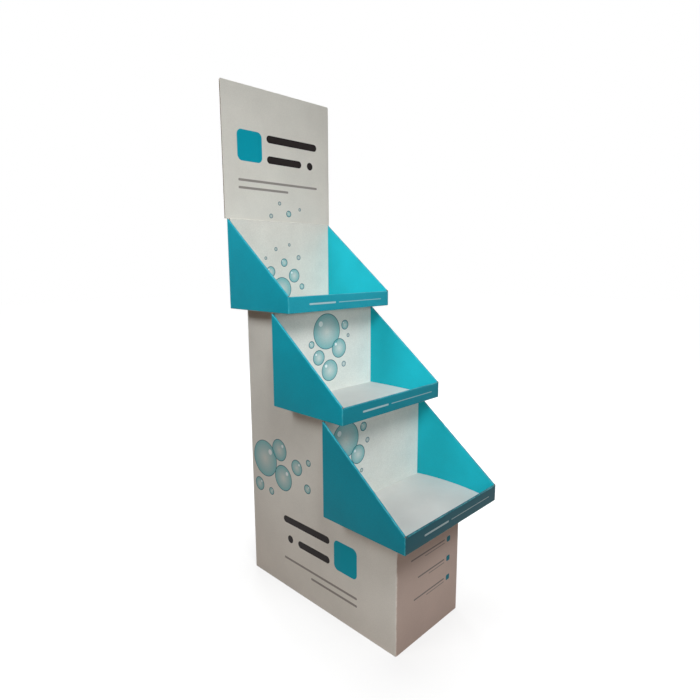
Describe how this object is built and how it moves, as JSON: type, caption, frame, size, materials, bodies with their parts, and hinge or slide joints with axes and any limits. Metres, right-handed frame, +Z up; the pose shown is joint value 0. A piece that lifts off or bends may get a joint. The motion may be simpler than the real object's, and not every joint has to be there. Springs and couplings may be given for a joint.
{
  "type": "cardboard display stand",
  "caption": "Free-standing cardboard display stand: a stepped folded body carries open sloping trays, with a tall header card at the back.",
  "frame": {"origin": "on the floor, under the middle of the stand's bounding box", "axes": "+Z up along the height; -Y is the front, where the lips of the trays face; +X is to the right of the stand's own middle plane when it is seen from the front"},
  "size_m": [0.412, 0.6754, 1.5],
  "materials": {
    "white_board": "matt printed liner",
    "teal_board": "satin printed liner",
    "kraft_board": "plain kraft liner"
  },
  "bodies": {
    "root": {"body_sleeve": "white_board", "header_card": "white_board", "top_tray": "teal_board", "middle_tray": "teal_board", "bottom_tray": "teal_board", "support_rib": "kraft_board", "rear_cross_plate": "kraft_board", "middle_cross_plate": "kraft_board", "front_cross_plate": "kraft_board"}
  },
  "joints": []
}
